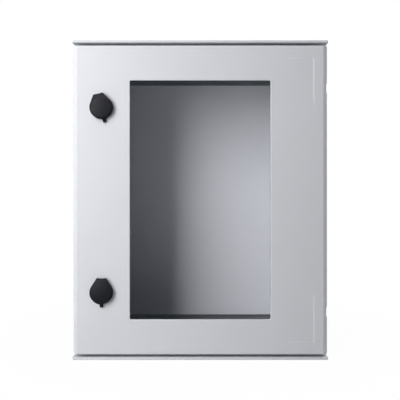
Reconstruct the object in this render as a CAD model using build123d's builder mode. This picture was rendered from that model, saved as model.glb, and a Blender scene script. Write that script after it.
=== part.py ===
from build123d import *
from math import acos, atan2, cos, hypot, radians, sin
import os

os.makedirs("parts", exist_ok=True)

# Wall-mounted polyester enclosure with a glazed door, in millimetres.
# X runs to the right seen from the front, the door faces -Y, Z is up.
# The origin is the centre of the back face, which lies against the wall.

# Box
width = 400.0
height = 500.0
depth = 200.0
wall = 4.0
edge_radius = 2.0
lip_edge_radius = 1.2
cavity_corner_radius = 5.0
shoulder_depth = 24.0
collar_wall = 4.0
collar_front_depth = 13.0
seal_inset_left = 23.5
seal_inset_right = 28.0
seal_inset_top = 26.0

# Door
door_side_gap = 1.5
lip_gap = 4.0
panel = 4.0
skirt_wall = 4.0
skirt_depth = 18.0
skirt_edge_radius = 2.0
door_corner_radius = 4.0
side_bevel_width = 6.0
side_bevel_depth = 2.0
side_edge_radius = 1.5
top_edge_radius = 2.5
corner_recess_inset = 20.0
corner_recess_width = 41.0
corner_recess_height = 79.0
corner_recess_depth = 0.5
corner_recess_wall = 2.2
corner_recess_runout = 15.0

# Door seal
seal_width = 9.0
seal_corner_radius = 8.0
seal_fit = 0.5
seal_rib = 1.5
seal_rib_height = 5.0
seal_gap = 0.3

# Window
window_to_lock = 44.0
window_end_margin = 63.0
window_corner_radius = 2.0
window_edge_radius = 1.0
pane_overlap = 15.0
pane_thickness = 4.0
pane_corner_radius = 6.0
window_seal_thickness = 2.0
window_seal_inset = 1.0
pane_rib_gap = 0.5
pane_rib = 2.0
pane_rib_height = 5.0
retainer_overlap = 7.0
retainer_width = 18.0
retainer_thickness = 2.0
retainer_gap = 0.5
retainer_boss_radius = 4.0
retainer_boss_inset = 5.5
retainer_hole_share = 0.3
retainer_screw_length = 7.0

# Hinges
hinge_end_margin = 75.0
hinge_inset = 12.0
hinge_setback = 10.5
knuckle_radius = 4.0
lug_height = 12.0
lug_reach_left = 6.0
lug_reach_right = 2.5
ear_height = 5.0
hinge_gap = 0.5
hinge_pin_radius = 2.0
hinge_pin_head_radius = 3.2
hinge_pin_head = 1.5
leaf_width = 14.0
leaf_height = 60.0
leaf_thickness = 2.0
leaf_screw_spacing = 44.0
leaf_screw_depth = 3.0
notch_depth = 1.2
notch_flat = 13.5
notch_front_depth = 3.2

# Locks
lock_inset = 46.0
lock_end_margin = 106.0
barrel_radius = 10.5
barrel_length = 24.0
lock_head_radius = 13.5
lock_head = 2.0
nut_across_flats = 26.0
nut_thickness = 5.0
rotor_radius = 6.5
rotor_collar_radius = 8.0
rotor_square = 9.0
key_recess_radius = 4.6
key_recess_depth = 9.0
key_pin_length = 7.0
key_pin_width = 2.2
cam_length = 26.0
cam_width = 12.0
cam_pivot_radius = 8.0
cam_thickness = 3.0
cam_gap = 1.2
cam_screw_length = 12.0

# Dust caps
cap_radius = 18.0
cap_height = 8.0
cap_plate = 1.5
cap_skirt = 2.0
cap_rim_width = 2.3
cap_rim_drop = 1.2
cap_floor_gap = 0.6
cap_tab_width = 14.4
cap_axis_rise = 19.3
cap_axis_out = 3.5
cap_knuckle_radius = 3.0
cap_pin_radius = 1.0
cap_ring_radius = 14.5
cap_ring_thickness = 2.0
cap_lug_width = 6.0
cap_lug_radius = 1.9
cap_lug_gap = 0.3
cap_tongue_width = 6.0
cap_tongue_length = 5.3
cap_tongue_thickness = 2.5
cap_tongue_taper = 0.6
cap_tongue_groove = 0.8
upper_cap_turn = 13.0
lower_cap_turn = 0.0
cap_travel = 110.0

# Mounting plate and wall fixing
plate_side_margin = 30.0
plate_end_margin = 35.0
plate_thickness = 3.0
plate_corner_radius = 6.0
plate_standoff = 14.0
plate_hole_inset_x = 15.0
plate_hole_inset_z = 10.0
plate_boss_radius = 8.0
insert_radius = 4.2
insert_length = 10.0
wall_hole_inset = 20.0
wall_hole_radius = 4.5
wall_hole_depth = 11.0
wall_boss_radius = 11.0
wall_boss_height = 10.0

# Screws
m4_radius = 2.0
m4_head_radius = 3.8
m4_head = 2.4
m4_clearance = 0.3
m5_radius = 2.5
m5_head_radius = 4.6
m5_head = 3.0
m5_clearance = 0.3
m5_sunk_radius = 4.6
m5_sunk_below = 0.1
socket_depth = 1.6
socket_share_of_head = 0.5
thread_clearance = 0.05
running_clearance = 0.05
fit_clearance = 0.1

# Places that several pieces share
door_width = width - 2 * door_side_gap
door_height = height - 2 * (wall + lip_gap)
window_width = width - 2 * (lock_inset + window_to_lock)
window_height = height - 2 * window_end_margin
hinge_x = width / 2 - hinge_inset
hinge_spacing = height - 2 * hinge_end_margin
hinge_levels = [("upper", hinge_spacing / 2), ("lower", -hinge_spacing / 2)]
lock_x = -width / 2 + lock_inset
lock_spacing = height - 2 * lock_end_margin
lock_levels = [
    ("upper", lock_spacing / 2, upper_cap_turn),
    ("lower", -lock_spacing / 2, lower_cap_turn),
]
seal_line_width = width - seal_inset_left - seal_inset_right
seal_line_height = height - 2 * seal_inset_top
seal_center = ((seal_inset_left - seal_inset_right) / 2, 0)
pane_width = window_width + 2 * pane_overlap
pane_height = window_height + 2 * pane_overlap
pane_depth = panel + window_seal_thickness
retainer_depth = pane_depth + pane_thickness
boss_line_x = pane_width / 2 + retainer_boss_inset
boss_line_z = pane_height / 2 + retainer_boss_inset
retainer_line_x = pane_width / 2 - retainer_overlap + retainer_width / 2
retainer_line_z = pane_height / 2 - retainer_overlap + retainer_width / 2
retainer_pitch_x = window_width * retainer_hole_share
retainer_pitch_z = window_height * retainer_hole_share
retainer_bosses = [
    (side * boss_line_x, step * retainer_pitch_z) for side in (-1, 1) for step in (-1, 0, 1)
] + [
    (step * retainer_pitch_x, side * boss_line_z) for side in (-1, 1) for step in (-1, 0, 1)
]
plate_width = width - 2 * plate_side_margin
plate_height = height - 2 * plate_end_margin
plate_hole_spacing_x = plate_width - 2 * plate_hole_inset_x
plate_hole_spacing_z = plate_height - 2 * plate_hole_inset_z
wall_hole_spacing_x = width - 2 * wall_hole_inset
wall_hole_spacing_z = height - 2 * wall_hole_inset
leaf_center_x = width / 2 - door_side_gap - skirt_wall - hinge_gap - leaf_width / 2
cam_depth = shoulder_depth + wall + cam_gap
front = Plane(origin=(0, -depth, 0), x_dir=(1, 0, 0), z_dir=(0, -1, 0))


def behind(distance):
    """Front-view plane at a distance behind the door's face."""
    return front.offset(-distance)


def y_behind(distance):
    """Y of a plane at a distance behind the door's face."""
    return -depth + distance


def seal_loop(outside, mode=Mode.ADD):
    """Area inside the line on which the door seals, grown by a distance."""
    with Locations(seal_center):
        RectangleRounded(
            seal_line_width + 2 * outside,
            seal_line_height + 2 * outside,
            seal_corner_radius + outside,
            mode=mode,
        )


def finish(builder, name):
    """Label a finished piece and write it."""
    builder.part.label = name
    export_step(builder.part, f"parts/{name}.step")


# Enclosure body: one moulding, open at the front
with BuildPart() as enclosure_body:
    with BuildSketch(front):
        Rectangle(width, height)
    extrude(amount=-depth)
    long_edges = enclosure_body.edges().filter_by(Axis.Y)
    back_edges = enclosure_body.faces().sort_by(Axis.Y)[-1].edges()
    fillet(long_edges + back_edges, edge_radius)
    # The side walls stop at the shoulder, the lips above and below run on to the door's face
    with BuildSketch(front):
        Rectangle(width, height - 2 * wall)
    extrude(amount=-shoulder_depth, mode=Mode.SUBTRACT)
    lip_fronts = enclosure_body.faces().group_by(Axis.Y)[0]
    fillet(lip_fronts.edges().filter_by(Axis.X), lip_edge_radius)
    with BuildSketch(behind(shoulder_depth + wall)):
        RectangleRounded(width - 2 * wall, height - 2 * wall, cavity_corner_radius)
    extrude(amount=-(depth - shoulder_depth - 2 * wall), mode=Mode.SUBTRACT)
    # Collar round the mouth, which the door's seal closes on
    with BuildSketch(behind(collar_front_depth)):
        seal_loop(collar_wall / 2)
    extrude(amount=-(shoulder_depth - collar_front_depth))
    with BuildSketch(behind(collar_front_depth)):
        seal_loop(-collar_wall / 2)
    extrude(amount=-(shoulder_depth - collar_front_depth + wall), mode=Mode.SUBTRACT)
    # Hinge lugs that reach forward from the shoulder to the hinge axis
    for _, level in hinge_levels:
        with BuildSketch(Plane.XY.offset(level - lug_height / 2)):
            with Locations((hinge_x, y_behind(hinge_setback))):
                Circle(knuckle_radius)
            with Locations((hinge_x - lug_reach_left, y_behind(hinge_setback))):
                Rectangle(
                    lug_reach_left + lug_reach_right,
                    shoulder_depth - hinge_setback,
                    align=(Align.MIN, Align.MIN),
                )
        extrude(amount=lug_height)
        with BuildSketch(Plane.XY.offset(level - lug_height / 2)):
            with Locations((hinge_x, y_behind(hinge_setback))):
                Circle(hinge_pin_radius + running_clearance)
        extrude(amount=lug_height, mode=Mode.SUBTRACT)
    # Bosses for the mounting plate and for the blind wall holes, which keep the box sealed
    with BuildSketch(front.offset(-(depth - wall))):
        with GridLocations(plate_hole_spacing_x, plate_hole_spacing_z, 2, 2):
            Circle(plate_boss_radius)
    extrude(amount=plate_standoff - wall)
    with BuildSketch(front.offset(-(depth - plate_standoff))):
        with GridLocations(plate_hole_spacing_x, plate_hole_spacing_z, 2, 2):
            Circle(insert_radius + thread_clearance)
    extrude(amount=-insert_length, mode=Mode.SUBTRACT)
    with BuildSketch(front.offset(-(depth - wall))):
        with GridLocations(wall_hole_spacing_x, wall_hole_spacing_z, 2, 2):
            Circle(wall_boss_radius)
    extrude(amount=wall_boss_height)
    with BuildSketch(front.offset(-depth)):
        with GridLocations(wall_hole_spacing_x, wall_hole_spacing_z, 2, 2):
            Circle(wall_hole_radius)
    extrude(amount=wall_hole_depth, mode=Mode.SUBTRACT)
finish(enclosure_body, "enclosure_body")

# Mounting plate with its inserts and its screws, sunk flush so that devices lie flat on it
plate_back = front.offset(-(depth - plate_standoff))
plate_front = plate_back.offset(plate_thickness)
with BuildPart() as mounting_plate:
    with BuildSketch(plate_back):
        RectangleRounded(plate_width, plate_height, plate_corner_radius)
    extrude(amount=plate_thickness)
    with Locations(plate_front):
        with GridLocations(plate_hole_spacing_x, plate_hole_spacing_z, 2, 2):
            CounterSinkHole(
                m5_radius + m5_clearance,
                m5_sunk_radius + m5_sunk_below + thread_clearance,
                counter_sink_angle=90,
            )
finish(mounting_plate, "mounting_plate")

with BuildPart() as plate_inserts:
    with BuildSketch(plate_back):
        with GridLocations(plate_hole_spacing_x, plate_hole_spacing_z, 2, 2):
            Circle(insert_radius)
            Circle(m5_radius + thread_clearance, mode=Mode.SUBTRACT)
    extrude(amount=-insert_length)
finish(plate_inserts, "plate_inserts")

sunk_face = plate_front.offset(-m5_sunk_below)
with BuildPart() as plate_screws:
    with BuildSketch(sunk_face):
        with GridLocations(plate_hole_spacing_x, plate_hole_spacing_z, 2, 2):
            Circle(m5_sunk_radius)
    extrude(amount=-(m5_sunk_radius - m5_radius), taper=45)
    with BuildSketch(sunk_face):
        with GridLocations(plate_hole_spacing_x, plate_hole_spacing_z, 2, 2):
            Circle(m5_radius)
    extrude(amount=-(plate_thickness + insert_length - 2 * m5_sunk_below))
    with BuildSketch(sunk_face):
        with GridLocations(plate_hole_spacing_x, plate_hole_spacing_z, 2, 2):
            RegularPolygon(m5_sunk_radius * socket_share_of_head, 6)
    extrude(amount=-socket_depth, mode=Mode.SUBTRACT)
finish(plate_screws, "plate_screws")

# Door frame: one moulding, panel and skirt, bevelled at the sides and rounded at top and bottom
with BuildPart() as door_frame:
    with BuildSketch(Plane.XY.offset(-door_height / 2)) as plan_section:
        with BuildLine():
            Polyline(
                (-door_width / 2, y_behind(skirt_depth)),
                (-door_width / 2, y_behind(side_bevel_depth)),
                (side_bevel_width - door_width / 2, y_behind(0)),
                (door_width / 2 - side_bevel_width, y_behind(0)),
                (door_width / 2, y_behind(side_bevel_depth)),
                (door_width / 2, y_behind(skirt_depth)),
                close=True,
            )
        make_face()
        fillet(plan_section.vertices().group_by(Axis.Y)[1], side_edge_radius)
    extrude(amount=door_height)
    with BuildSketch(Plane.YZ.offset(-door_width / 2)) as side_section:
        with Locations((y_behind(skirt_depth / 2), 0)):
            Rectangle(skirt_depth, door_height)
        fillet(side_section.vertices().group_by(Axis.X)[0], top_edge_radius)
    extrude(amount=door_width, mode=Mode.INTERSECT)
    with BuildSketch(front):
        RectangleRounded(door_width, door_height, door_corner_radius)
    extrude(amount=-skirt_depth, mode=Mode.INTERSECT)
    fillet(door_frame.faces().sort_by(Axis.Y)[-1].outer_wire().edges(), skirt_edge_radius)
    with BuildSketch(behind(panel)):
        Rectangle(door_width - 2 * skirt_wall, door_height - 2 * skirt_wall)
    extrude(amount=-(skirt_depth - panel), mode=Mode.SUBTRACT)
    # Window, and the rib that holds the pane's edge behind it
    with BuildSketch(front):
        RectangleRounded(window_width, window_height, window_corner_radius)
    extrude(amount=-panel, mode=Mode.SUBTRACT)
    with BuildSketch(behind(panel)):
        rib_start = pane_rib_gap + pane_rib
        RectangleRounded(
            pane_width + 2 * rib_start, pane_height + 2 * rib_start, pane_corner_radius + rib_start
        )
        RectangleRounded(
            pane_width + 2 * pane_rib_gap,
            pane_height + 2 * pane_rib_gap,
            pane_corner_radius + pane_rib_gap,
            mode=Mode.SUBTRACT,
        )
    extrude(amount=-pane_rib_height)
    fillet(door_frame.faces().sort_by(Axis.Y)[0].inner_wires()[0].edges(), window_edge_radius)
    # Ribs that hold the door seal
    channel_half = seal_width / 2 + seal_fit
    with BuildSketch(behind(panel)):
        seal_loop(channel_half + seal_rib)
        seal_loop(channel_half, Mode.SUBTRACT)
        seal_loop(-channel_half)
        seal_loop(-channel_half - seal_rib, Mode.SUBTRACT)
    extrude(amount=-seal_rib_height)
    # Bosses for the window retainers
    with BuildSketch(behind(panel)):
        with Locations(*retainer_bosses):
            Circle(retainer_boss_radius)
    extrude(amount=-(retainer_depth - panel))
    with BuildSketch(behind(retainer_depth)):
        with Locations(*retainer_bosses):
            Circle(m4_radius + thread_clearance)
    extrude(amount=retainer_screw_length, mode=Mode.SUBTRACT)
    # Lock holes
    with BuildSketch(front):
        with Locations(*[(lock_x, level) for _, level, _ in lock_levels]):
            Circle(barrel_radius + fit_clearance)
    extrude(amount=-panel, mode=Mode.SUBTRACT)
    # Hinge notches, slots for the body's lugs and screw holes for the leaves
    for _, level in hinge_levels:
        with BuildSketch(front):
            with Locations((door_width / 2, level)):
                Trapezoid(
                    notch_flat + 2 * notch_depth,
                    notch_depth,
                    45,
                    rotation=90,
                    align=(Align.CENTER, Align.MIN),
                )
        extrude(amount=-skirt_depth, mode=Mode.SUBTRACT)
        with BuildSketch(behind(notch_front_depth)):
            with Locations((door_width / 2 - skirt_wall - hinge_gap, level)):
                Rectangle(
                    skirt_wall + 2 * hinge_gap, lug_height + 3 * hinge_gap, align=(Align.MIN, Align.CENTER)
                )
        extrude(amount=-(skirt_depth - notch_front_depth), mode=Mode.SUBTRACT)
        with BuildSketch(behind(panel)):
            with Locations((leaf_center_x, level)):
                with GridLocations(0, leaf_screw_spacing, 1, 2):
                    Circle(m4_radius + thread_clearance)
        extrude(amount=leaf_screw_depth, mode=Mode.SUBTRACT)
    # Shallow corner recesses on the hinge side, deepest along their outer wall and running out to nothing
    recess_x = door_width / 2 - corner_recess_inset
    recess_z = door_height / 2 - corner_recess_inset
    with BuildPart(mode=Mode.PRIVATE) as corner_recess:
        with BuildSketch(Plane.XY.offset(recess_z)):
            with BuildLine():
                Polyline(
                    (recess_x, y_behind(0)),
                    (recess_x - corner_recess_wall, y_behind(corner_recess_depth)),
                    (recess_x - corner_recess_width, y_behind(0)),
                    close=True,
                )
            make_face()
        extrude(amount=-corner_recess_height)
        with BuildSketch(Plane.YZ.offset(recess_x)):
            with BuildLine():
                Polyline(
                    (y_behind(0), recess_z),
                    (y_behind(corner_recess_depth), recess_z),
                    (y_behind(corner_recess_depth), recess_z - corner_recess_height + corner_recess_runout),
                    (y_behind(0), recess_z - corner_recess_height),
                    close=True,
                )
            make_face()
        extrude(amount=-corner_recess_width, mode=Mode.INTERSECT)
    add(corner_recess.part, mode=Mode.SUBTRACT)
    add(mirror(corner_recess.part, about=Plane.XY, mode=Mode.PRIVATE), mode=Mode.SUBTRACT)
finish(door_frame, "door_frame")

# Door seal in its channel, just clear of the collar when the door is shut
with BuildPart() as door_gasket:
    with BuildSketch(behind(panel)):
        seal_loop(seal_width / 2)
        seal_loop(-seal_width / 2, Mode.SUBTRACT)
    extrude(amount=-(collar_front_depth - seal_gap - panel))
finish(door_gasket, "door_gasket")

# Window: seal on the panel's back, pane, four retainers and their screws
with BuildPart() as window_seal:
    with BuildSketch(behind(panel)):
        RectangleRounded(
            pane_width - 2 * window_seal_inset,
            pane_height - 2 * window_seal_inset,
            pane_corner_radius - window_seal_inset,
        )
        RectangleRounded(window_width, window_height, window_corner_radius, mode=Mode.SUBTRACT)
    extrude(amount=-window_seal_thickness)
finish(window_seal, "window_seal")

with BuildPart() as window_pane:
    with BuildSketch(behind(pane_depth)):
        RectangleRounded(pane_width, pane_height, pane_corner_radius)
    extrude(amount=-pane_thickness)
finish(window_pane, "window_pane")

for name, side in (("left_retainer", -1), ("right_retainer", 1)):
    with BuildPart() as side_retainer:
        with BuildSketch(behind(retainer_depth)):
            with Locations((side * retainer_line_x, 0)):
                Rectangle(retainer_width, 2 * retainer_line_z + retainer_width)
            with Locations((side * boss_line_x, 0)):
                with GridLocations(0, retainer_pitch_z, 1, 3):
                    Circle(m4_radius + m4_clearance, mode=Mode.SUBTRACT)
        extrude(amount=-retainer_thickness)
    finish(side_retainer, name)

for name, side in (("top_retainer", 1), ("bottom_retainer", -1)):
    with BuildPart() as end_retainer:
        with BuildSketch(behind(retainer_depth)):
            with Locations((0, side * retainer_line_z)):
                Rectangle(2 * (retainer_line_x - retainer_gap) - retainer_width, retainer_width)
            with Locations((0, side * boss_line_z)):
                with GridLocations(retainer_pitch_x, 0, 3, 1):
                    Circle(m4_radius + m4_clearance, mode=Mode.SUBTRACT)
        extrude(amount=-retainer_thickness)
    finish(end_retainer, name)

with BuildPart() as retainer_screws:
    with BuildSketch(behind(retainer_depth + retainer_thickness)):
        with Locations(*retainer_bosses):
            Circle(m4_head_radius)
    extrude(amount=-m4_head)
    with BuildSketch(behind(retainer_depth + retainer_thickness)):
        with Locations(*retainer_bosses):
            Circle(m4_radius)
    extrude(amount=retainer_thickness + retainer_screw_length - thread_clearance)
    with BuildSketch(behind(retainer_depth + retainer_thickness + m4_head)):
        with Locations(*retainer_bosses):
            RegularPolygon(m4_head_radius * socket_share_of_head, 6)
    extrude(amount=socket_depth, mode=Mode.SUBTRACT)
finish(retainer_screws, "retainer_screws")

# Hinges: a leaf with two ears on the door takes the body's lug between them
for name, level in hinge_levels:
    ear_start = lug_height / 2 + hinge_gap
    with BuildPart() as hinge_leaf:
        with BuildSketch(behind(panel)):
            with Locations((leaf_center_x, level)):
                Rectangle(leaf_width, leaf_height)
                with GridLocations(0, leaf_screw_spacing, 1, 2):
                    Circle(m4_radius + m4_clearance, mode=Mode.SUBTRACT)
            # The leaf is cut back beside the lug, which turns past it as the door opens
            with Locations((hinge_x + lug_reach_right - hinge_gap, level)):
                Rectangle(leaf_width, 2 * ear_start, align=(Align.MIN, Align.CENTER), mode=Mode.SUBTRACT)
        extrude(amount=-leaf_thickness)
        for side in (-1, 1):
            with BuildSketch(Plane.XY.offset(level + side * (ear_start + ear_height / 2))):
                with Locations((hinge_x, y_behind(hinge_setback))):
                    Circle(knuckle_radius)
                with Locations((hinge_x, y_behind(panel))):
                    Rectangle(
                        2 * knuckle_radius, hinge_setback - panel, align=(Align.CENTER, Align.MIN)
                    )
                with Locations((hinge_x, y_behind(hinge_setback))):
                    Circle(hinge_pin_radius + running_clearance, mode=Mode.SUBTRACT)
            extrude(amount=ear_height / 2, both=True)
    finish(hinge_leaf, f"{name}_hinge_leaf")

    pin_top = level + ear_start + ear_height
    with BuildPart() as hinge_pin:
        with BuildSketch(Plane.XY.offset(pin_top)):
            with Locations((hinge_x, y_behind(hinge_setback))):
                Circle(hinge_pin_head_radius)
        extrude(amount=hinge_pin_head)
        with BuildSketch(Plane.XY.offset(pin_top)):
            with Locations((hinge_x, y_behind(hinge_setback))):
                Circle(hinge_pin_radius)
        extrude(amount=-2 * (ear_start + ear_height))
    finish(hinge_pin, f"{name}_hinge_pin")

leaf_screw_places = [
    (leaf_center_x, level + step * leaf_screw_spacing / 2) for _, level in hinge_levels for step in (-1, 1)
]
with BuildPart() as hinge_leaf_screws:
    with BuildSketch(behind(panel + leaf_thickness)):
        with Locations(*leaf_screw_places):
            Circle(m4_head_radius)
    extrude(amount=-m4_head)
    with BuildSketch(behind(panel + leaf_thickness)):
        with Locations(*leaf_screw_places):
            Circle(m4_radius)
    extrude(amount=leaf_thickness + leaf_screw_depth - thread_clearance)
    with BuildSketch(behind(panel + leaf_thickness + m4_head)):
        with Locations(*leaf_screw_places):
            RegularPolygon(m4_head_radius * socket_share_of_head, 6)
    extrude(amount=socket_depth, mode=Mode.SUBTRACT)
finish(hinge_leaf_screws, "hinge_leaf_screws")

# Locks and dust caps, each on its own plane: x right, y up, z out of the door
for name, level, turn in lock_levels:
    lock_plane = Plane(origin=(lock_x, -depth, level), x_dir=(1, 0, 0), z_dir=(0, -1, 0))
    cap_plane = Plane(
        origin=(lock_x, -depth, level),
        x_dir=(cos(radians(turn)), 0, sin(radians(turn))),
        z_dir=(0, -1, 0),
    )
    # Plane across the cap's hinge: x up, y out of the door
    hinge_plane = Plane(origin=cap_plane.origin, x_dir=cap_plane.y_dir, z_dir=cap_plane.x_dir)

    with BuildPart() as lock_housing:
        with BuildSketch(lock_plane.offset(cap_ring_thickness)):
            Circle(lock_head_radius)
        extrude(amount=lock_head)
        with BuildSketch(lock_plane.offset(-barrel_length)):
            Circle(barrel_radius)
        extrude(amount=barrel_length + cap_ring_thickness)
        with BuildSketch(lock_plane.offset(-barrel_length)):
            Circle(rotor_radius + running_clearance)
        extrude(amount=barrel_length + cap_ring_thickness + lock_head, mode=Mode.SUBTRACT)
    finish(lock_housing, f"{name}_lock_housing")

    with BuildPart() as lock_nut:
        with BuildSketch(lock_plane.offset(-panel)):
            RegularPolygon(nut_across_flats / 2, 6, major_radius=False, rotation=30)
            Circle(barrel_radius + thread_clearance, mode=Mode.SUBTRACT)
        extrude(amount=-nut_thickness)
    finish(lock_nut, f"{name}_lock_nut")

    with BuildPart() as lock_rotor:
        rotor_front = cap_ring_thickness + lock_head
        with BuildSketch(lock_plane.offset(rotor_front)):
            Circle(rotor_radius)
        extrude(amount=-(rotor_front + barrel_length + fit_clearance))
        with BuildSketch(lock_plane.offset(-(barrel_length + fit_clearance))):
            Circle(rotor_collar_radius)
        extrude(amount=-(cam_depth - barrel_length - fit_clearance))
        with BuildSketch(lock_plane.offset(-cam_depth)):
            Rectangle(rotor_square, rotor_square)
        extrude(amount=-cam_thickness)
        # Recess for a double-bit key, with its fixed pin
        with BuildSketch(lock_plane.offset(rotor_front)):
            Circle(key_recess_radius)
            SlotOverall(key_pin_length, key_pin_width, mode=Mode.SUBTRACT)
        extrude(amount=-key_recess_depth, mode=Mode.SUBTRACT)
        with BuildSketch(lock_plane.offset(-(cam_depth + cam_thickness))):
            Circle(m5_radius + thread_clearance)
        extrude(amount=cam_screw_length, mode=Mode.SUBTRACT)
    finish(lock_rotor, f"{name}_lock_rotor")

    with BuildPart() as lock_cam:
        with BuildSketch(lock_plane.offset(-cam_depth)):
            Circle(cam_pivot_radius)
            # Unlocked, the cam hangs straight down, clear of the shoulder
            Rectangle(cam_width, cam_length - cam_width / 2, align=(Align.CENTER, Align.MAX))
            with Locations((0, cam_width / 2 - cam_length)):
                Circle(cam_width / 2)
            Rectangle(rotor_square + fit_clearance, rotor_square + fit_clearance, mode=Mode.SUBTRACT)
        extrude(amount=-cam_thickness)
    finish(lock_cam, f"{name}_lock_cam")

    with BuildPart() as cam_screw:
        with BuildSketch(lock_plane.offset(-(cam_depth + cam_thickness))):
            Circle(m5_head_radius)
        extrude(amount=-m5_head)
        with BuildSketch(lock_plane.offset(-(cam_depth + cam_thickness))):
            Circle(m5_radius)
        extrude(amount=cam_screw_length - thread_clearance)
        with BuildSketch(lock_plane.offset(-(cam_depth + cam_thickness + m5_head))):
            RegularPolygon(m5_head_radius * socket_share_of_head, 6)
        extrude(amount=socket_depth, mode=Mode.SUBTRACT)
    finish(cam_screw, f"{name}_cam_screw")

    with BuildPart() as cap_ring:
        with BuildSketch(cap_plane):
            Circle(cap_ring_radius)
        extrude(amount=cap_ring_thickness)
        with BuildSketch(hinge_plane):
            with Locations((cap_axis_rise, cap_axis_out)):
                Circle(cap_lug_radius)
            # The lug stops at the axis near the door, so that the opened cap's knuckle can turn past it
            with Locations((cap_axis_rise, 0)):
                Rectangle(
                    cap_axis_rise - barrel_radius, cap_ring_thickness, align=(Align.MAX, Align.MIN)
                )
                Rectangle(2 * cap_lug_radius, cap_axis_out, align=(Align.MAX, Align.MIN))
        extrude(amount=cap_lug_width / 2, both=True)
        with BuildSketch(hinge_plane):
            with Locations((cap_axis_rise, cap_axis_out)):
                Circle(cap_pin_radius + running_clearance)
        extrude(amount=cap_lug_width / 2, both=True, mode=Mode.SUBTRACT)
        with BuildSketch(cap_plane):
            Circle(barrel_radius + fit_clearance)
        extrude(amount=cap_ring_thickness, mode=Mode.SUBTRACT)
    finish(cap_ring, f"{name}_cap_ring")

    # The tab's sides run from its top corners to touch the round of the cap
    tab_top = cap_axis_rise + cap_knuckle_radius
    tab_corner = hypot(cap_tab_width / 2, tab_top)
    touch_angle = atan2(cap_tab_width / 2, tab_top) + acos(cap_radius / tab_corner)
    touch_x = cap_radius * sin(touch_angle)
    touch_y = cap_radius * cos(touch_angle)
    tab_out = cap_height - cap_rim_drop
    # The slot stays open as far past upright as the cap's travel needs to pass the lug
    slot_out = cap_axis_out + cap_lug_gap
    slot_lean = radians(cap_travel - 90)
    with BuildPart() as dust_cap:
        # Tab: bevelled towards its knuckle, which is round about the pin
        with BuildSketch(cap_plane.offset(cap_floor_gap)):
            with BuildLine():
                Polyline(
                    (touch_x, touch_y),
                    (cap_tab_width / 2, tab_top),
                    (-cap_tab_width / 2, tab_top),
                    (-touch_x, touch_y),
                    close=True,
                )
            make_face()
        extrude(amount=tab_out - cap_floor_gap)
        with BuildSketch(hinge_plane):
            with BuildLine():
                Polyline(
                    (touch_y, tab_out),
                    (cap_axis_rise - cap_knuckle_radius, tab_out),
                    (cap_axis_rise, cap_axis_out + cap_knuckle_radius),
                    (cap_axis_rise, cap_floor_gap),
                    (touch_y, cap_floor_gap),
                    close=True,
                )
            make_face()
            with Locations((cap_axis_rise, cap_axis_out)):
                Circle(cap_knuckle_radius)
        extrude(amount=cap_radius, both=True, mode=Mode.INTERSECT)
        # Round of the cap with its bevelled rim
        with BuildSketch(hinge_plane):
            with BuildLine():
                Polyline(
                    (0, cap_floor_gap),
                    (cap_radius, cap_floor_gap),
                    (cap_radius, tab_out),
                    (cap_radius - cap_rim_width, cap_height),
                    (0, cap_height),
                    close=True,
                )
            make_face()
        revolve(axis=Axis(cap_plane.origin, cap_plane.z_dir))
        # Hollow over the lock's head, and the slot that takes the ring's lug
        with BuildSketch(cap_plane):
            Circle(cap_radius - cap_skirt)
        extrude(amount=cap_height - cap_plate, mode=Mode.SUBTRACT)
        with BuildSketch(hinge_plane):
            with BuildLine():
                Polyline(
                    (0, slot_out),
                    (cap_axis_rise, slot_out),
                    (cap_axis_rise + cap_height * cos(slot_lean), slot_out + cap_height * sin(slot_lean)),
                    (cap_axis_rise + cap_height, 0),
                    (0, 0),
                    close=True,
                )
            make_face()
            with Locations((cap_axis_rise, cap_axis_out)):
                Circle(cap_lug_radius + cap_lug_gap)
        extrude(amount=cap_lug_width / 2 + cap_lug_gap, both=True, mode=Mode.SUBTRACT)
        with BuildSketch(hinge_plane):
            with Locations((cap_axis_rise, cap_axis_out)):
                Circle(cap_pin_radius + running_clearance)
        extrude(amount=cap_radius, both=True, mode=Mode.SUBTRACT)
        # Pull tongue with a groove down its middle
        with BuildSketch(cap_plane.offset(cap_floor_gap)):
            with BuildLine():
                Polyline(
                    (cap_tongue_width / 2, -(cap_radius - cap_skirt)),
                    (cap_tongue_width / 2 - cap_tongue_taper, -(cap_radius + cap_tongue_length)),
                    (cap_tongue_taper - cap_tongue_width / 2, -(cap_radius + cap_tongue_length)),
                    (-cap_tongue_width / 2, -(cap_radius - cap_skirt)),
                    close=True,
                )
            make_face()
            Circle(cap_radius - cap_skirt, mode=Mode.SUBTRACT)
        extrude(amount=cap_tongue_thickness)
        with BuildSketch(cap_plane.offset(cap_floor_gap + cap_tongue_thickness)):
            with Locations((0, -cap_radius)):
                Rectangle(cap_tongue_groove, cap_tongue_length, align=(Align.CENTER, Align.MAX))
        extrude(amount=-cap_tongue_groove, mode=Mode.SUBTRACT)
    finish(dust_cap, f"{name}_dust_cap")

    with BuildPart() as cap_pin:
        with BuildSketch(hinge_plane):
            with Locations((cap_axis_rise, cap_axis_out)):
                Circle(cap_pin_radius)
        extrude(amount=cap_tab_width / 2, both=True)
    finish(cap_pin, f"{name}_cap_pin")
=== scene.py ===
"""Finishes, fine pieces and studio for a wall-mounted polyester enclosure with a glazed door."""

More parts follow.
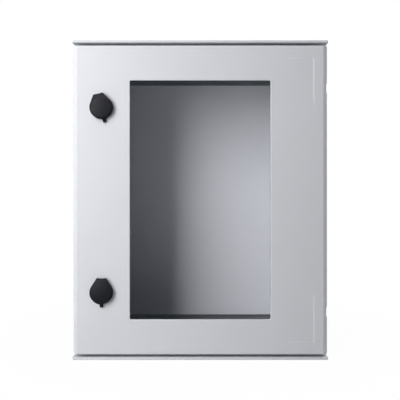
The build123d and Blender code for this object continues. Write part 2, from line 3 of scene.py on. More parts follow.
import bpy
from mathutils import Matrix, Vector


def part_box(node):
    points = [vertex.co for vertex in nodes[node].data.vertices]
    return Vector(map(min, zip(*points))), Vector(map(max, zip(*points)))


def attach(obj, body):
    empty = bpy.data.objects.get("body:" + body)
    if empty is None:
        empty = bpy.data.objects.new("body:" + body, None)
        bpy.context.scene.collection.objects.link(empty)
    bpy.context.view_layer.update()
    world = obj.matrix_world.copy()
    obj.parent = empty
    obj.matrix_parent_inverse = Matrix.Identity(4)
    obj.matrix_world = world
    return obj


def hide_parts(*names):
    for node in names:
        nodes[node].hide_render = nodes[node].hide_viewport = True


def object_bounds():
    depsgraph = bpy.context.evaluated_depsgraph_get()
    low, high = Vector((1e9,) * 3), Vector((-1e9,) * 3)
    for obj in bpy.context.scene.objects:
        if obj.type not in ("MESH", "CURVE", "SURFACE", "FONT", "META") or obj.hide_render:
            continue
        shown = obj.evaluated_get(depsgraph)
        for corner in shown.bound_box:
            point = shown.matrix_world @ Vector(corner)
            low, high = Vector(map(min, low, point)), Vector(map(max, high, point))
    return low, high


bl_info = {
    "name": "Glazed Polyester Enclosure",
    "version": (1, 0, 0),
    "blender": (4, 5, 0),
    "location": "View3D > Sidebar > Enclosure",
    "description": "Finishes, fine pieces and studio for a wall-mounted enclosure with a glazed door",
    "category": "Object",
}

import math

import bmesh
import bpy
import numpy as np

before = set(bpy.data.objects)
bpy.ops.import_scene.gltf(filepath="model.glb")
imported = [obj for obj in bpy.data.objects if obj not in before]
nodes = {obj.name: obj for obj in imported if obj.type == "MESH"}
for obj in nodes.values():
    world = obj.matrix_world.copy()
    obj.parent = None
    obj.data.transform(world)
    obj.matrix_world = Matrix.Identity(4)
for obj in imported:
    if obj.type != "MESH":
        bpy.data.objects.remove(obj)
cad_box = [list(corner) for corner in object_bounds()]


def color_property(name, description, default):
    """A colour that a user may change, as linear red, green and blue."""
    return bpy.props.FloatVectorProperty(
        name=name, description=description, default=default, subtype="COLOR", size=3, min=0, max=1
    )


def length_property(name, description, default):
    """A length that a user may change, in metres."""
    return bpy.props.FloatProperty(name=name, description=description, default=default, unit="LENGTH", min=0)


def power_property(name, description, default):
    """A lamp's power that a user may change, in watts."""
    return bpy.props.FloatProperty(name=name, description=description, default=default, unit="POWER", min=0)


def place_property(name, description, default):
    """A place, or a width and a height, that a user may change, in metres."""
    return bpy.props.FloatVectorProperty(
        name=name, description=description, default=default, unit="LENGTH", size=len(default)
    )


def turn_property(name, description, degrees):
    """Turns about x, y and z that a user may change, given here in degrees."""
    radians = [math.radians(angle) for angle in degrees]
    return bpy.props.FloatVectorProperty(
        name=name, description=description, default=radians, subtype="EULER", size=3
    )


class EnclosureColors(bpy.types.PropertyGroup):
    """Colours of the finishes."""

    polyester: color_property("Polyester", "Moulded body and door", (0.618, 0.631, 0.666))
    plate: color_property("Mounting plate", "Paint of the mounting plate", (0.893, 0.892, 0.965))
    pane: color_property("Window pane", "Tint of the light through the pane", (0.985, 0.988, 0.987))
    cap: color_property("Dust caps", "Moulded plastic of the dust caps", (0.0055, 0.0058, 0.009))
    rubber: color_property("Seals", "Rubber of the window seal", (0.016, 0.016, 0.017))
    foam: color_property("Door seal", "Foamed bead in the door", (0.05, 0.05, 0.053))
    steel: color_property("Zinc-plated steel", "Cams and screws", (0.58, 0.6, 0.62))
    stainless: color_property("Stainless steel", "Hinge leaves, hinge pins and cap pins", (0.62, 0.61, 0.59))
    aluminium: color_property("Aluminium", "Window retainers", (0.72, 0.725, 0.73))
    brass: color_property("Brass", "Threaded inserts", (0.72, 0.5, 0.2))
    die_cast: color_property("Die-cast zinc", "Lock housings, nuts and rotors", (0.38, 0.385, 0.395))


class EnclosureSizes(bpy.types.PropertyGroup):
    """Sizes of the fine pieces."""

    skin: length_property("Skin", "Depth past which a face was made by the mould's core", 0.002)
    shoulder: length_property("Shoulder", "From the door's face back to the body's shoulder", 0.024)
    door_panel: length_property("Door panel", "Thickness of the door's panel", 0.004)
    recess_inset: length_property("Recess inset", "From the door's edges to its corner recesses", 0.02)
    recess_width: length_property("Recess width", "Width of the door's corner recesses", 0.041)
    # Painted highlight: width of the pale line at a recess's end
    painted_highlight_width: length_property("Painted highlight width", "Width of the pale line along a recess's end", 0.0016)
    barrel_radius: length_property("Lock barrel", "Outer radius of the lock's thread", 0.0105)
    barrel_bore: length_property("Lock bore", "Radius of the bore that takes the rotor", 0.00655)
    lock_head: length_property("Lock head", "Thickness of the lock's round head", 0.002)
    thread_pitch: length_property("Thread pitch", "Rise of the lock's thread in one turn", 0.0015)
    thread_depth: length_property("Thread depth", "From crest to root of the lock's thread", 0.0007)
    nut_bevel: length_property("Nut bevel", "From a flat's middle in to where the nut's bevel starts", 0.0006)
    screw_head: length_property("Screw heads", "Height of the button heads", 0.0024)
    screw_shank: length_property("Screw shanks", "Radius of the small screws' shanks", 0.002)
    socket_depth: length_property("Screw sockets", "Depth of the hexagon sockets", 0.0016)
    cap_crown: bpy.props.FloatProperty(
        name="Cap crown", description="Fall of a cap's face over the distance squared", default=5.5, min=0
    )


class EnclosureStudio(bpy.types.PropertyGroup):
    """Lamps, surroundings and camera. An unturned lamp faces straight down."""

    soft_key_power: power_property("Key power", "Power of the large soft lamp in front, on the left", 19.4)
    soft_key_size: place_property("Key size", "Width and height of the key's face", (0.82, 1.22))
    soft_key_place: place_property("Key place", "Middle of the key's face", (-0.82, -1.12, 0.39))
    soft_key_turn: turn_property("Key turn", "Turns that aim the key left of the door", (61, 0, -25))
    top_light_power: power_property("Top power", "Power of the lamp overhead", 4.5)
    top_light_size: place_property("Top size", "Width and height of the top lamp's face", (1.0, 0.4))
    top_light_place: place_property("Top place", "Middle of the top lamp's face", (0.0, -0.33, 1.2))
    top_light_turn: turn_property("Top turn", "Turns that aim the top lamp down the door", (5, 0, 0))
    back_light_power: power_property("Back power", "Power of the lamp behind, on the right", 14.0)
    back_light_size: place_property("Back size", "Width and height of the back lamp's face", (1.2, 1.2))
    back_light_place: place_property("Back place", "Middle of the back lamp's face", (1.1, 1.2, 0.25))
    back_light_turn: turn_property("Back turn", "Turns that aim the back lamp at the body", (81.1, 0, 141.3))
    ambient: bpy.props.FloatProperty(
        name="Ambient", description="Strength of the light from all round", default=0.012, min=0
    )
    ambient_color: color_property("Ambient colour", "Tint of the light from all round", (0.8, 0.9, 1))
    floor_color: color_property("Floor", "Colour that the floor throws back", (0.6, 0.6, 0.6))
    camera_distance: length_property("Camera distance", "From the camera to the door's face", 0.9)
    camera_side: length_property("Camera side", "From the door's middle left to the camera", 0.0004)
    field: length_property("Field width", "Width that the picture takes in at the door's face", 0.625)


class Wire:
    """A socket in a material, so that arithmetic on it adds Math nodes to the same tree."""

    def __init__(self, tree, socket=None):
        self.tree = tree
        self.socket = socket

    def node(self, kind, settings=None, sockets=None, output=0):
        """Add a node, make its settings, fill its sockets with values or links and return one output."""
        node = self.tree.nodes.new("ShaderNode" + kind)
        for name, value in (settings or {}).items():
            setattr(node, name, value)
        for name, value in (sockets or {}).items():
            if isinstance(value, Wire):
                self.tree.links.new(value.socket, node.inputs[name])
            else:
                node.inputs[name].default_value = value
        return Wire(self.tree, node.outputs[output] if node.outputs else None)

    def math(self, operation, first, second):
        """Add a Math node for two values or sockets."""
        return self.node("Math", {"operation": operation}, {0: first, 1: second})

    def __add__(self, other):
        return self.math("ADD", self, other)

    __radd__ = __add__

    def __sub__(self, other):
        return self.math("SUBTRACT", self, other)

    def __rsub__(self, other):
        return self.math("SUBTRACT", other, self)

    def __mul__(self, other):
        return self.math("MULTIPLY", self, other)

    __rmul__ = __mul__

    def __abs__(self):
        return self.math("ABSOLUTE", self, 0)

    def noise(self, cells, detail=2, roughness=0.5):
        """Cloudy noise from 0 to 1 at this point, with so many cells per metre."""
        sockets = {"Vector": self, "Scale": cells, "Detail": detail, "Roughness": roughness}
        return self.node("TexNoise", None, sockets)

    def stretched(self, size, turn=(0, 0, 0)):
        """This point turned, then measured in cells of a size along each axis, in metres."""
        sockets = {"Vector": self, "Rotation": turn, "Scale": size}
        return self.node("Mapping", {"vector_type": "TEXTURE"}, sockets)

    def ramp(self, low, high):
        """0 below low, 1 above high, smooth between."""
        sockets = {"Value": self, "From Min": low, "From Max": high}
        return self.node("MapRange", {"interpolation_type": "SMOOTHSTEP"}, sockets)

    def threads(self, size, turn, width=0.05):
        """1 along the lines where stretched noise passes its middle value, falling to 0 over a width."""
        away = abs(self.stretched(size, turn).noise(1, detail=1) - 0.5)
        return 1 - away.ramp(0, width)

    def between(self, first, second):
        """The colour that lies this far from the first to the second, each a colour or another socket."""
        ends = [end if isinstance(end, Wire) else (*end, 1) for end in (first, second)]
        return self.node("Mix", {"data_type": "RGBA"}, {0: self, 6: ends[0], 7: ends[1]}, output=2)

    def tint(self, color, darkest, palest):
        """A colour times a factor that this value takes from the darkest to the palest."""
        return self.between(shade(color, darkest), shade(color, palest))

    def axes(self):
        """This point's x, y and z."""
        outputs = self.node("SeparateXYZ", None, {0: self}).socket.node.outputs
        return [Wire(self.tree, output) for output in outputs]

    def inside(self, low, high):
        """1 at points between two corners of a box, 0 elsewhere."""
        middle = [(a + b) / 2 for a, b in zip(low, high)]
        away = self.node("VectorMath", {"operation": "SUBTRACT"}, {0: self, 1: middle})
        away = self.node("VectorMath", {"operation": "ABSOLUTE"}, {0: away})
        within = [self.math("LESS_THAN", axis, (b - a) / 2) for axis, a, b in zip(away.axes(), low, high)]
        return within[0] * within[1] * within[2]

    def bump(self, strength, distance):
        """Normals of a surface that this value raises by up to a distance."""
        return self.node("Bump", None, {"Height": self, "Strength": strength, "Distance": distance})


def shade(color, factor):
    """A colour made lighter or darker."""
    return tuple(min(1.0, channel * factor) for channel in color)


def new_finish(name):
    """An empty material and its point in Object coordinates."""
    material = bpy.data.materials.new(name)
    material.use_nodes = True
    material.node_tree.nodes.clear()
    return material, Wire(material.node_tree).node("TexCoord", output=3)


def coat(place, sockets):
    """Finish a material with one Principled shader."""
    shader = place.node("BsdfPrincipled", None, sockets)
    place.node("OutputMaterial", None, {"Surface": shader})


def moulded_polyester(name, color, core_box, painted_highlight_boxes=()):
    """Glass-fibre polyester: pale mottling, faint strands under the skin, a fine orange peel. Inside the core
    box lies the side that the mould's core made: more matt, and painted darker as shade. Inside the
    highlight boxes the colour is paler, as a painted highlight."""
    material, place = new_finish(name)
    core_side_shade = place.inside(*core_box)
    cloud = place.noise(16, detail=3)
    grain = place.noise(1100)
    level_strands = place.threads(size=(0.03, 0.0025, 0.0025), turn=(0.4, 0.6, 0.3))
    upright_strands = place.threads(size=(0.0025, 0.0025, 0.03), turn=(0.5, -0.7, 0.2))
    strands = level_strands + upright_strands
    tone = cloud * 0.6 + grain * 0.25 + strands * 0.06
    outside = tone.tint(color, darkest=0.965, palest=1.03)
    # Painted highlight: paler colour along the recess ends inside these boxes
    for box in painted_highlight_boxes:
        outside = place.inside(*box).between(outside, shade(color, factor=1.07))
    peel = place.noise(420) * 0.7 + grain * 0.3
    coat(
        place,
        {
            # Painted shade: the inside of the box at about half the outside's brightness
            "Base Color": core_side_shade.between(outside, tone.tint(color, darkest=0.45, palest=0.51)),
            "Roughness": cloud * 0.12 + grain * 0.1 + core_side_shade * 0.2 + 0.36,
            "Normal": (peel + strands * 0.1).bump(strength=0.35, distance=0.0002),
            "IOR": 1.5,
        },
    )
    return material


def plate_paint(color):
    """Powder paint on steel: a soft pebbled skin and very slight clouding."""
    material, place = new_finish("plate_paint")
    cloud = place.noise(9)
    pebbles = place.noise(650)
    coat(
        place,
        {
            "Base Color": (cloud * 0.7 + pebbles * 0.3).tint(color, darkest=0.97, palest=1.03),
            "Roughness": pebbles * 0.15 + 0.42,
            "Normal": pebbles.bump(strength=0.4, distance=0.0002),
        },
    )
    return material


def cap_plastic(color, middle, crown):
    """Black moulded plastic: spark-eroded grain with faint handling marks. Each cap's face falls away from
    its middle by the crown times the distance squared. The middle is given as x and as height above or
    below the door's middle."""
    material, place = new_finish("cap_plastic")
    grain = place.noise(2600)
    pale_marks = place.noise(90, detail=4, roughness=0.65).ramp(0.5, 0.72)
    grain_height = 0.00003
    x, _, z = place.axes()
    right = x - middle[0]
    up = abs(z) - middle[1]
    fall = (right * right + up * up) * crown
    coat(
        place,
        {
            "Base Color": (grain * 0.6 + pale_marks * 0.4).tint(color, darkest=0.85, palest=1.35),
            "Roughness": 0.45 - pale_marks * 0.1 + grain * 0.08,
            "Normal": (grain * grain_height - fall).bump(strength=1, distance=1),
            "Specular IOR Level": 0.16,
        },
    )
    return material


def seal_rubber(name, color, cells, dusting):
    """Rubber or foam: open grain of so many cells per metre, made paler by up to a factor by a dusting."""
    material, place = new_finish(name)
    grain = place.noise(cells, detail=3, roughness=0.6)
    bloom = place.noise(40, detail=3).ramp(0.45, 0.75)
    coat(
        place,
        {
            "Base Color": (grain * 0.5 + bloom * 0.5).tint(color, darkest=1, palest=dusting),
            "Roughness": grain * 0.15 + 0.72,
            "Normal": grain.bump(strength=0.5, distance=0.0002),
        },
    )
    return material


def plated_metal(name, color, roughness):
    """Plated or cast metal: cloudy bath marks, fine pits and a polish that varies about a roughness."""
    material, place = new_finish(name)
    cloud = place.noise(130, detail=4, roughness=0.6)
    pits = place.noise(2400)
    coat(
        place,
        {
            "Base Color": (cloud * 0.7 + pits * 0.3).tint(color, darkest=0.86, palest=1.12),
            "Metallic": 1.0,
            "Roughness": cloud * 0.16 + pits * 0.08 + (roughness - 0.12),
            "Normal": pits.bump(strength=0.15, distance=0.00008),
        },
    )
    return material


def drawn_metal(name, color, roughness, along):
    """Drawn or brushed metal: long fine scratches along one axis, 0, 1 or 2, about a mean roughness."""
    material, place = new_finish(name)
    scratch_size = [0.0003] * 3
    scratch_size[along] = 0.03
    scratches = place.stretched(scratch_size).noise(1, detail=3, roughness=0.6)
    cloud = place.noise(60, detail=3)
    coat(
        place,
        {
            "Base Color": (scratches * 0.6 + cloud * 0.4).tint(color, darkest=0.88, palest=1.1),
            "Metallic": 1.0,
            "Roughness": scratches * 0.18 + (roughness - 0.09),
            "Normal": scratches.bump(strength=0.2, distance=0.00006),
        },
    )
    return material


def clear_pane(tint):
    """Clear coated glass: lets lamps straight through, mirrors a little face on and more at a slant, with a
    trace of dust."""
    material, place = new_finish("clear_pane")
    dust = place.noise(30, detail=4, roughness=0.65).ramp(0.5, 0.8)
    slant = place.node("LayerWeight", None, {"Blend": 0.5}, output=1)
    face_on = 0.01
    glancing = 0.6
    dusty = 0.003
    coating = (0.72, 0.85, 1)
    dulled = (0.7, 0.8, 0.9)
    mirror = place.math("POWER", slant, 5) * glancing + face_on + dust * dusty
    gloss = place.node(
        "BsdfPrincipled",
        None,
        {
            "Base Color": dust.between(coating, dulled),
            "Metallic": 1.0,
            "Roughness": dust * 0.1 + 0.2,
        },
    )
    clear = place.node("BsdfTransparent", None, {"Color": (*tint, 1)})
    shader = place.node("MixShader", None, {0: mirror, 1: clear, 2: gloss})
    place.node("OutputMaterial", None, {"Surface": shader})
    return material


def corners_of(name):
    """All corners of a CAD node's mesh."""
    mesh = nodes[name].data
    corners = np.empty(len(mesh.vertices) * 3)
    mesh.vertices.foreach_get("co", corners)
    return corners.reshape(-1, 3)


def boxes_in(name, reach):
    """Low and high corners of each piece in a node whose pieces stand further apart than a reach."""
    corners = corners_of(name)
    boxes = []
    while len(corners):
        near = np.linalg.norm(corners - corners[0], axis=1) < reach
        boxes.append((corners[near].min(0), corners[near].max(0)))
        corners = corners[~near]
    return boxes


def frame_bar(name):
    """Bar width and corner radius along the middle line of a frame-shaped node: the straight sides end at the
    least height, where both faces of the bar have corners."""
    corners = corners_of(name)
    height = np.abs(corners[:, 2])
    tolerance = 1e-5
    side_ends = corners[height < height.min() + tolerance]
    across = np.unique(np.round(side_ends[:, 0], 6))
    bar = across[1] - across[0]
    return bar, height.max() - height.min() - bar / 2


def dress(material, *names):
    """Give CAD nodes a finish."""
    for name in names:
        for slot in nodes[name].material_slots:
            slot.material = material


def surface_mesh(name, points, wrap_rows=False, wrap_columns=False, sharp=35):
    """A mesh over grids of points, shaped copies, rows, columns, 3: each cell of a grid is one quad, and the
    last row or column joins the first where it wraps. Edges bent by more than sharp degrees stay crisp."""
    copies, rows, columns = points.shape[:3]
    first = np.arange(copies) * rows * columns
    row = np.arange(rows if wrap_rows else rows - 1)
    column = np.arange(columns if wrap_columns else columns - 1)
    first, row, column = np.meshgrid(first, row, column, indexing="ij")
    next_row = (row + 1) % rows
    next_column = (column + 1) % columns
    corners = [(row, column), (next_row, column), (next_row, next_column), (row, next_column)]
    quads = np.stack([first + r * columns + c for r, c in corners], -1).reshape(-1, 4)
    mesh = bpy.data.meshes.new(name)
    mesh.from_pydata(points.reshape(-1, 3).tolist(), [], quads.tolist())
    # Rows that meet in one point become fans
    weld_distance = 1e-7
    welded = bmesh.new()
    welded.from_mesh(mesh)
    bmesh.ops.remove_doubles(welded, verts=welded.verts, dist=weld_distance)
    welded.to_mesh(mesh)
    welded.free()
    mesh.shade_smooth()
    mesh.set_sharp_from_angle(angle=math.radians(sharp))
    return mesh


def add_piece(name, mesh, material, body, slot, *replaced):
    """Put a piece on a body, with its finish, in place of CAD nodes."""
    piece = bpy.data.objects.new(name, mesh)
    bpy.context.scene.collection.objects.link(piece)
    mesh.materials.append(material)
    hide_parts(*replaced)
    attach(piece, body)


def rounded_loop(low, high, radius, arc_steps=12):
    """A rectangle with rounded corners in the door's plane: four quarter circles joined by straight runs.
    Returns points (x, z) and outward unit normals."""
    angle = np.linspace(0, math.pi / 2, arc_steps)
    around = (np.arange(4)[:, None] * math.pi / 2 + angle).ravel()
    normal = np.stack([np.cos(around), np.sin(around)], -1)
    side = np.repeat(np.array([[1, 1], [0, 1], [0, 0], [1, 0]]), arc_steps, axis=0)
    center = low + radius + side * (high - low - 2 * radius)
    return center + radius * normal, normal


def turned(radius, rise, angle, center, inward):
    """Points of a surface turned about an axis through the door: at each angle, a radius across the axis and
    a rise along it. Inward is 1 where the rise points into the box and -1 where it points out of the door."""
    radius, rise, angle = np.broadcast_arrays(radius, rise, angle)
    x = center[0] - inward * radius * np.cos(angle)
    return np.stack([x, center[1] + inward * rise, center[2] + radius * np.sin(angle)], -1)


def turns(count):
    """Angles of a full circle, the last one step short of the first."""
    return np.arange(count) * (2 * math.pi / count)


def hexagon(flat, angle):
    """Distance from the middle of a hexagon to its side: that of a flat over the cosine of the angle from the
    nearest flat's middle."""
    return flat / np.cos((angle + math.pi / 6) % (math.pi / 3) - math.pi / 6)


def button_screw(low, high, sizes):
    """A button-head screw in a box, head towards the inside. Rows go from the socket's middle over its
    hexagon and the domed head, a quarter ellipse, to the shank's chamfered tip."""
    angle = turns(count=48)
    head = (high[0] - low[0]) / 2
    socket_flat = head * 0.43
    socket = hexagon(socket_flat, angle)
    dome_start = head * 0.58
    dome_foot = sizes.screw_head * 0.3
    dome_rows = 9
    dome = np.linspace(0, math.pi / 2, dome_rows)[:, None]
    shank = sizes.screw_shank
    chamfer = shank * 0.3
    top = sizes.screw_head
    floor = top - sizes.socket_depth
    tip = top - (high[1] - low[1])
    dome_radii = dome_start + (head - dome_start) * np.sin(dome)
    dome_rises = dome_foot + (top - dome_foot) * np.cos(dome)
    radii = [0, socket, socket, *dome_radii, head, shank, shank, shank - chamfer, 0]
    rises = [floor, floor, top, *dome_rises, 0, 0, tip + chamfer, tip, tip]
    radius = np.stack([np.broadcast_to(value, angle.shape) for value in radii])
    rise = np.array([float(np.squeeze(value)) for value in rises])[:, None]
    middle = (low + high) / 2
    return turned(radius, rise, angle, (middle[0], high[1] - top, middle[2]), inward=1)


class ENCLOSURE_OT_dress_body(bpy.types.Operator):
    """Finish the moulded body, the door and the mounting plate with its fixings"""

    bl_idname = "enclosure.dress_body"
    bl_label = "Body and Plate"

    def execute(self, context):
        colors = context.scene.enclosure_colors
        sizes = context.scene.enclosure_sizes
        skin = sizes.skin
        low, high = map(np.array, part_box("enclosure_body"))
        # The inside of the body: more matt, and painted darker as shade
        core_box = low + (skin, sizes.shoulder + skin, skin), high - skin
        dress(moulded_polyester("body_polyester", colors.polyester, core_box), "enclosure_body")
        low, high = map(np.array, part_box("door_frame"))
        # The door is open behind, and its core side, more matt and painted darker as shade, starts just short
        # of the panel's back
        core_box = low + (skin, sizes.door_panel - skin / 4, skin), high - (skin, 0, skin)
        # Painted highlights: pale lines at the outer ends of the two shallow recesses on the hinge side
        right = high[0] - sizes.recess_inset
        left = right - sizes.recess_width
        ends = [low[2] + sizes.recess_inset, high[2] - sizes.recess_inset]
        half = sizes.painted_highlight_width / 2
        pale_marks = [((left, low[1] - half, end - half), (right, low[1] + half, end + half)) for end in ends]
        dress(moulded_polyester("door_polyester", colors.polyester, core_box, pale_marks), "door_frame")
        dress(plate_paint(colors.plate), "mounting_plate")
        dress(plated_metal("brass_inserts", colors.brass, roughness=0.35), "plate_inserts")
        dress(plated_metal("plate_screw_zinc", colors.steel, roughness=0.34), "plate_screws")
        return {"FINISHED"}


class ENCLOSURE_OT_dress_window(bpy.types.Operator):
    """Finish the pane, its seal and the four retainers"""

    bl_idname = "enclosure.dress_window"
    bl_label = "Window"

    def execute(self, context):
        colors = context.scene.enclosure_colors
        dress(clear_pane(colors.pane), "window_pane")
        dress(seal_rubber("window_rubber", colors.rubber, cells=1200, dusting=1.6), "window_seal")
        upright = drawn_metal("upright_aluminium", colors.aluminium, roughness=0.34, along=2)
        dress(upright, "left_retainer", "right_retainer")
        level = drawn_metal("level_aluminium", colors.aluminium, roughness=0.34, along=0)
        dress(level, "top_retainer", "bottom_retainer")
        return {"FINISHED"}


class ENCLOSURE_OT_build_seal(bpy.types.Operator):
    """Lay the foamed seal as a crowned bead in the door's channel"""

    bl_idname = "enclosure.build_seal"
    bl_label = "Door Seal"

    def execute(self, context):
        colors = context.scene.enclosure_colors
        low, high = map(np.array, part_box("door_gasket"))
        front, back = low[1], high[1]
        bar, corner = frame_bar("door_gasket")
        half = bar / 2
        path, normal = rounded_loop(low[[0, 2]] + half, high[[0, 2]] - half, corner)
        # Section, in shares of the height: a flat foot, short upright sides, half an ellipse as its crown
        side = 0.3
        crown = 0.55
        crown_points = 17
        turn = np.linspace(0, math.pi, crown_points)
        across = np.concatenate([[-1, -1], -np.cos(turn), [1, 1]]) * half
        height = np.concatenate([[0, side], 1 - crown + crown * np.sin(turn), [side, 0]])
        depth = np.broadcast_to(front + (back - front) * height, (len(path), len(height)))
        ring = path[:, None] + normal[:, None] * across[:, None]
        points = np.stack([ring[..., 0], depth, ring[..., 1]], -1)
        mesh = surface_mesh("door_seal_bead", points[None], wrap_rows=True, wrap_columns=True)
        foam = seal_rubber("seal_foam", colors.foam, cells=900, dusting=1.5)
        add_piece("door_seal_bead", mesh, foam, "door", "seal_rubber", "door_gasket")
        return {"FINISHED"}


class ENCLOSURE_OT_build_screws(bpy.types.Operator):
    """Turn the button-head screws that hold the window retainers and the hinge leaves"""

    bl_idname = "enclosure.build_screws"
    bl_label = "Small Screws"

    def execute(self, context):
        colors = context.scene.enclosure_colors
        sizes = context.scene.enclosure_sizes
        zinc = plated_metal("screw_zinc", colors.steel, roughness=0.32)
        for name in ("retainer_screws", "hinge_leaf_screws"):
            # No screw is longer than this, and no two stand nearer
            boxes = boxes_in(name, reach=0.02)
            points = np.stack([button_screw(low, high, sizes) for low, high in boxes])
            mesh = surface_mesh(f"button_{name}", points, wrap_columns=True)
            add_piece(f"button_{name}", mesh, zinc, "door", "zinc_steel", name)
        return {"FINISHED"}


class ENCLOSURE_OT_dress_hinges(bpy.types.Operator):
    """Finish the hinge leaves and their pins"""

    bl_idname = "enclosure.dress_hinges"
    bl_label = "Hinges"

    def execute(self, context):
        colors = context.scene.enclosure_colors
        leaf = plated_metal("leaf_stainless", colors.stainless, roughness=0.36)
        dress(leaf, "upper_hinge_leaf", "lower_hinge_leaf")
        pin = drawn_metal("pin_stainless", colors.stainless, roughness=0.28, along=2)
        dress(pin, "upper_hinge_pin", "lower_hinge_pin")
        return {"FINISHED"}


class ENCLOSURE_OT_build_locks(bpy.types.Operator):
    """Cut the threads of both lock barrels, bevel their nuts and finish rotors, cams and cam screws"""

    bl_idname = "enclosure.build_locks"
    bl_label = "Locks"

    def execute(self, context):
        colors = context.scene.enclosure_colors
        sizes = context.scene.enclosure_sizes
        cast = plated_metal("lock_die_cast", colors.die_cast, roughness=0.48)
        zinc = plated_metal("lock_zinc", colors.steel, roughness=0.34)
        for level in ("upper", "lower"):
            dress(cast, f"{level}_lock_rotor")
            dress(zinc, f"{level}_lock_cam", f"{level}_cam_screw")
            housing = f"{level}_lock_housing"
            nut = f"{level}_lock_nut"
            barrel_points = self.barrel(housing, sizes)[None]
            nut_points = self.nut(nut, sizes)[None]
            wraps = {"wrap_rows": True, "wrap_columns": True}
            threaded = surface_mesh(f"{level}_threaded_lock", barrel_points, **wraps, sharp=50)
            add_piece(f"{level}_threaded_lock", threaded, cast, "door", "lock_zinc", housing)
            bevelled = surface_mesh(f"{level}_bevelled_nut", nut_points, **wraps)
            add_piece(f"{level}_bevelled_nut", bevelled, cast, "door", "lock_zinc", nut)
        return {"FINISHED"}

    @staticmethod
    def barrel(name, sizes):
        """A lock housing turned about its axis: round head, then a barrel whose radius falls from crest to
        root and back once in each pitch, the phase running once round with the angle, then the bore."""
        low, high = map(np.array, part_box(name))
        angle = turns(count=72)
        head = (high[0] - low[0]) / 2
        edge = sizes.lock_head * 0.2
        rim = head - edge
        bore = sizes.barrel_bore
        top = 0
        seat = top - sizes.lock_head
        end = low[1] - high[1]
        rows_per_pitch = 8
        rows = int(rows_per_pitch * (seat - end) / sizes.thread_pitch)
        root = sizes.barrel_radius - sizes.thread_depth
        thread_rise = np.linspace(seat, end + sizes.thread_depth, rows)
        phase = thread_rise[:, None] / sizes.thread_pitch + angle / (2 * math.pi)
        thread = sizes.barrel_radius - sizes.thread_depth * np.abs(2 * (phase % 1) - 1)
        before = [(bore, top), (rim - edge, top), (rim, top), (head, top - edge), (head, seat)]
        after = [(root, end), (bore, end)]
        ring = np.ones_like(angle)
        radius = [value * ring for value, _ in before] + list(thread) + [value * ring for value, _ in after]
        rises = np.concatenate([[value for _, value in before], thread_rise, [value for _, value in after]])
        middle = (low + high) / 2
        center = (middle[0], low[1], middle[2])
        return turned(np.stack(radius), rises[:, None], angle, center, inward=-1)

    @staticmethod
    def nut(name, sizes):
        """A hexagon nut with round-bevelled corners: past the bevel's start, its top falls by a slope times
        the distance."""
        low, high = map(np.array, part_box(name))
        angle = turns(count=96)
        flat = (high[0] - low[0]) / 2
        thickness = high[1] - low[1]
        side = hexagon(flat, angle)
        start = flat - sizes.nut_bevel
        slope = 0.5
        ring = np.ones_like(angle)
        bore = sizes.barrel_radius * ring
        radius = np.stack([bore, start * ring, side, side, bore])
        bevel_end = thickness - (side - start) * slope
        rise = np.stack([thickness * ring, thickness * ring, bevel_end, 0 * ring, 0 * ring])
        middle = (low + high) / 2
        return turned(radius, rise, angle, (middle[0], low[1], middle[2]), inward=1)


class ENCLOSURE_OT_dress_caps(bpy.types.Operator):
    """Finish both dust caps, their rings and pins"""

    bl_idname = "enclosure.dress_caps"
    bl_label = "Dust Caps"

    def execute(self, context):
        colors = context.scene.enclosure_colors
        sizes = context.scene.enclosure_sizes
        low, high = map(np.array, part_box("upper_lock_housing"))
        middle = (low + high)[[0, 2]] / 2
        plastic = cap_plastic(colors.cap, middle, sizes.cap_crown)
        pins = drawn_metal("cap_pin_stainless", colors.stainless, roughness=0.28, along=0)
        for level in ("upper", "lower"):
            dress(plastic, f"{level}_dust_cap", f"{level}_cap_ring")
            dress(pins, f"{level}_cap_pin")
        return {"FINISHED"}


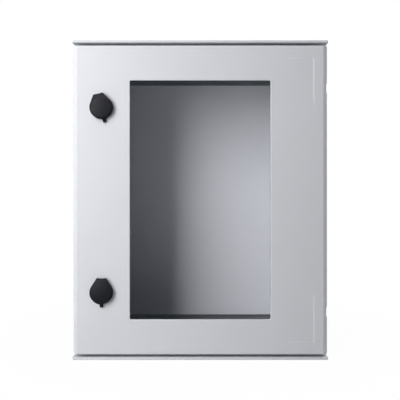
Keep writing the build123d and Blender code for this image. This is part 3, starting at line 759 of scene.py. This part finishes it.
class ENCLOSURE_OT_build_studio(bpy.types.Operator):
    """Set up the floor, the white surroundings, the three lamps and the camera"""

    bl_idname = "enclosure.build_studio"
    bl_label = "Studio"

    def execute(self, context):
        scene = context.scene
        studio = scene.enclosure_studio
        self.add_floor(scene, studio, level=cad_box[0][2])
        self.light_world(scene, studio)
        for name in ("soft_key", "top_light", "back_light"):
            self.add_lamp(scene, studio, name)
        self.add_camera(scene, studio, door_front=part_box("door_frame")[0][1])
        scene.view_settings.view_transform = "Standard"
        return {"FINISHED"}

    @staticmethod
    def rays_in(graph):
        """Two masks: rays that show the surroundings, straight or through glass, and rays in a mirror."""
        path = graph.node("LightPath")
        outputs = path.socket.node.outputs
        through = Wire(graph.tree, outputs["Is Transmission Ray"])
        return path.math("MAXIMUM", path, through), Wire(graph.tree, outputs["Is Glossy Ray"])

    def add_floor(self, scene, studio, level):
        """A wide flat floor: a grid over x and y at one height, white to the eye with a faint shadow."""
        half_width = 6
        lines = 25
        across = np.linspace(-half_width, half_width, lines)
        x, y = np.meshgrid(across, across, indexing="ij")
        points = np.stack([x, y, np.full_like(x, level)], -1)
        mesh = surface_mesh("studio_floor", points[None])
        floor = bpy.data.objects.new("studio_floor", mesh)
        scene.collection.objects.link(floor)
        material, place = new_finish("floor_white")
        glow = place.node("Emission", None, {"Color": (1, 1, 1, 1), "Strength": 1.0})
        paint = place.node("BsdfDiffuse", None, {"Color": (*studio.floor_color, 1)})
        away = place.node("VectorMath", {"operation": "LENGTH"}, {0: place}, output=1)
        straight, mirrored = self.rays_in(place)
        # Distances at which the shadow starts to fade, is gone, and at which mirrors see plain white
        near = 0.3
        clear = 0.6
        far = 5
        shadow = 0.02
        seen_white = away.ramp(near, clear) * shadow + (1 - shadow)
        share = straight * seen_white + mirrored * away.ramp(near, far)
        shader = place.node("MixShader", None, {0: share, 1: paint, 2: glow})
        place.node("OutputMaterial", None, {"Surface": shader})
        mesh.materials.append(material)

    def light_world(self, scene, studio):
        """White to the eye, a weak light from all round for everything else."""
        scene.world = bpy.data.worlds.new("studio_world")
        scene.world.use_nodes = True
        scene.world.node_tree.nodes.clear()
        graph = Wire(scene.world.node_tree)
        tint = (*studio.ambient_color, 1)
        fill = graph.node("Background", None, {"Color": tint, "Strength": studio.ambient})
        white = graph.node("Background", None, {"Color": (1, 1, 1, 1), "Strength": 1.0})
        straight, mirrored = self.rays_in(graph)
        sky = graph.node("MixShader", None, {0: straight + mirrored, 1: fill, 2: white})
        graph.node("OutputWorld", None, {"Surface": sky})

    def add_lamp(self, scene, studio, name):
        """A rectangular soft lamp that the camera doesn't see."""
        data = bpy.data.lights.new(name, "AREA")
        data.shape = "RECTANGLE"
        data.size, data.size_y = getattr(studio, f"{name}_size")
        data.energy = getattr(studio, f"{name}_power")
        lamp = bpy.data.objects.new(name, data)
        scene.collection.objects.link(lamp)
        lamp.location = getattr(studio, f"{name}_place")
        lamp.rotation_euler = getattr(studio, f"{name}_turn")
        lamp.visible_camera = False

    def add_camera(self, scene, studio, door_front):
        """A level camera in front of the door, a little left of its middle."""
        data = bpy.data.cameras.new("camera")
        data.sensor_width = 36
        data.lens = data.sensor_width * studio.camera_distance / studio.field
        camera = bpy.data.objects.new("camera", data)
        scene.collection.objects.link(camera)
        camera.location = (-studio.camera_side, door_front - studio.camera_distance, 0)
        camera.rotation_euler = (math.pi / 2, 0, 0)
        scene.camera = camera


class ENCLOSURE_PT_sidebar(bpy.types.Panel):
    """Lists the steps that finish the enclosure"""

    bl_label = "Enclosure"
    bl_idname = "ENCLOSURE_PT_sidebar"
    bl_space_type = "VIEW_3D"
    bl_region_type = "UI"
    bl_category = "Enclosure"

    def draw(self, context):
        for step in steps:
            self.layout.operator(step.bl_idname)


steps = (
    ENCLOSURE_OT_dress_body,
    ENCLOSURE_OT_dress_window,
    ENCLOSURE_OT_build_seal,
    ENCLOSURE_OT_build_screws,
    ENCLOSURE_OT_dress_hinges,
    ENCLOSURE_OT_build_locks,
    ENCLOSURE_OT_dress_caps,
    ENCLOSURE_OT_build_studio,
)
groups = {
    "enclosure_colors": EnclosureColors,
    "enclosure_sizes": EnclosureSizes,
    "enclosure_studio": EnclosureStudio,
}


def register():
    for group in groups.values():
        bpy.utils.register_class(group)
    for name, group in groups.items():
        setattr(bpy.types.Scene, name, bpy.props.PointerProperty(type=group))
    for step in steps:
        bpy.utils.register_class(step)
    bpy.utils.register_class(ENCLOSURE_PT_sidebar)


def unregister():
    bpy.utils.unregister_class(ENCLOSURE_PT_sidebar)
    for step in reversed(steps):
        bpy.utils.unregister_class(step)
    for name in groups:
        delattr(bpy.types.Scene, name)
    for group in reversed(groups.values()):
        bpy.utils.unregister_class(group)


def main():
    register()
    bpy.ops.enclosure.dress_body()
    bpy.ops.enclosure.dress_window()
    bpy.ops.enclosure.build_seal()
    bpy.ops.enclosure.build_screws()
    bpy.ops.enclosure.dress_hinges()
    bpy.ops.enclosure.build_locks()
    bpy.ops.enclosure.dress_caps()
    bpy.ops.enclosure.build_studio()


if __name__ == "__main__":
    main()
